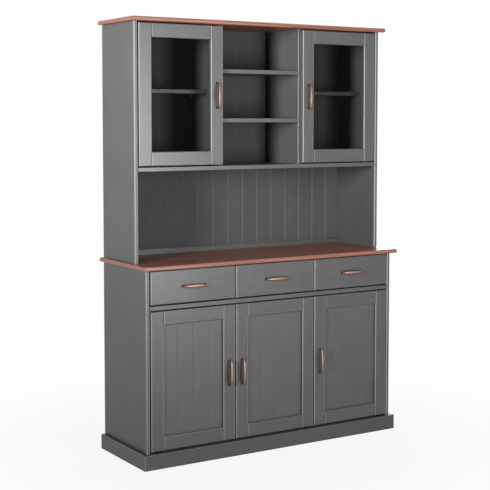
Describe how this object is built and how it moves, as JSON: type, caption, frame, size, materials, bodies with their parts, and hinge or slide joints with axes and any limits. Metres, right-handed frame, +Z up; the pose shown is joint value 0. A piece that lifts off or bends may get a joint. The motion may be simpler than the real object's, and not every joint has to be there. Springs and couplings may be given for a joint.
{
  "type": "tall sideboard",
  "caption": "Tall painted dresser: plinth base with drawers over framed doors, stained worktop, open niche, and a hutch with glazed doors and open centre shelves.",
  "frame": {"origin": "middle of the footprint, on the floor", "axes": "+Z up, -Y out of the front, +X to the right seen from the front"},
  "size_m": [1.314, 0.426, 1.87],
  "materials": {
    "painted_pine": "satin grey paint on pine",
    "stained_pine": "reddish brown stain, satin lacquer",
    "bare_pine": "clear lacquer",
    "clear_glass": "clear float glass",
    "copper": "polished copper plate",
    "nickel_steel": "nickel plate",
    "catch_plastic": "moulded"
  },
  "bodies": {
    "carcass": {"plinth_front": "painted_pine", "plinth_left": "painted_pine", "plinth_right": "painted_pine", "base_side_left": "painted_pine", "base_side_right": "painted_pine", "base_floor": "painted_pine", "drawer_deck": "painted_pine", "base_divider": "painted_pine", "drawer_dividers": "painted_pine", "base_back": "painted_pine", "base_shelves": "painted_pine", "hutch_side_left": "painted_pine", "hutch_side_right": "painted_pine", "hutch_divider_left": "painted_pine", "hutch_divider_right": "painted_pine", "hutch_floor": "painted_pine", "hutch_shelves": "painted_pine", "centre_shelves": "painted_pine", "hutch_back": "painted_pine", "niche_back": "painted_pine", "niche_rail": "painted_pine", "worktop": "stained_pine", "hutch_top": "stained_pine", "drawer_runners": "bare_pine", "shelf_brackets": "nickel_steel", "pivot_leaves": "nickel_steel", "magnet_catches": "catch_plastic"},
    "hutch_door_left": {"hutch_door_left_frame": "painted_pine", "hutch_door_left_glass": "clear_glass", "hutch_door_left_handle": "copper", "hutch_door_left_fittings": "nickel_steel"},
    "hutch_door_right": {"hutch_door_right_frame": "painted_pine", "hutch_door_right_glass": "clear_glass", "hutch_door_right_handle": "copper", "hutch_door_right_fittings": "nickel_steel"},
    "base_door_left": {"base_door_left_frame": "painted_pine", "base_door_left_panel": "painted_pine", "base_door_left_handle": "copper", "base_door_left_fittings": "nickel_steel"},
    "base_door_centre": {"base_door_centre_frame": "painted_pine", "base_door_centre_panel": "painted_pine", "base_door_centre_handle": "copper", "base_door_centre_fittings": "nickel_steel"},
    "base_door_right": {"base_door_right_frame": "painted_pine", "base_door_right_panel": "painted_pine", "base_door_right_handle": "copper", "base_door_right_fittings": "nickel_steel"},
    "drawer_left": {"drawer_left_front": "painted_pine", "drawer_left_box": "bare_pine", "drawer_left_bottom": "bare_pine", "drawer_left_handle": "copper"},
    "drawer_centre": {"drawer_centre_front": "painted_pine", "drawer_centre_box": "bare_pine", "drawer_centre_bottom": "bare_pine", "drawer_centre_handle": "copper"},
    "drawer_right": {"drawer_right_front": "painted_pine", "drawer_right_box": "bare_pine", "drawer_right_bottom": "bare_pine", "drawer_right_handle": "copper"}
  },
  "joints": [
    {"name": "hutch_door_left_hinge", "type": "hinge", "parent": "carcass", "child": "hutch_door_left", "pos_m": [-0.6035, -0.08, 1.2515], "axis": [0, 0, -1], "range_deg": [0, 110]},
    {"name": "hutch_door_right_hinge", "type": "hinge", "parent": "carcass", "child": "hutch_door_right", "pos_m": [0.6035, -0.08, 1.2515], "axis": [0, 0, 1], "range_deg": [0, 110]},
    {"name": "base_door_left_hinge", "type": "hinge", "parent": "carcass", "child": "base_door_left", "pos_m": [-0.6035, -0.177, 0.0685], "axis": [0, 0, -1], "range_deg": [0, 110]},
    {"name": "base_door_centre_hinge", "type": "hinge", "parent": "carcass", "child": "base_door_centre", "pos_m": [0.19167, -0.177, 0.0685], "axis": [0, 0, 1], "range_deg": [0, 95]},
    {"name": "base_door_right_hinge", "type": "hinge", "parent": "carcass", "child": "base_door_right", "pos_m": [0.6035, -0.177, 0.0685], "axis": [0, 0, 1], "range_deg": [0, 110]},
    {"name": "drawer_left_slide", "type": "slide", "parent": "carcass", "child": "drawer_left", "axis": [0, -1, 0], "range_m": [0, 0.25]},
    {"name": "drawer_centre_slide", "type": "slide", "parent": "carcass", "child": "drawer_centre", "axis": [0, -1, 0], "range_m": [0, 0.25]},
    {"name": "drawer_right_slide", "type": "slide", "parent": "carcass", "child": "drawer_right", "axis": [0, -1, 0], "range_m": [0, 0.25]}
  ]
}
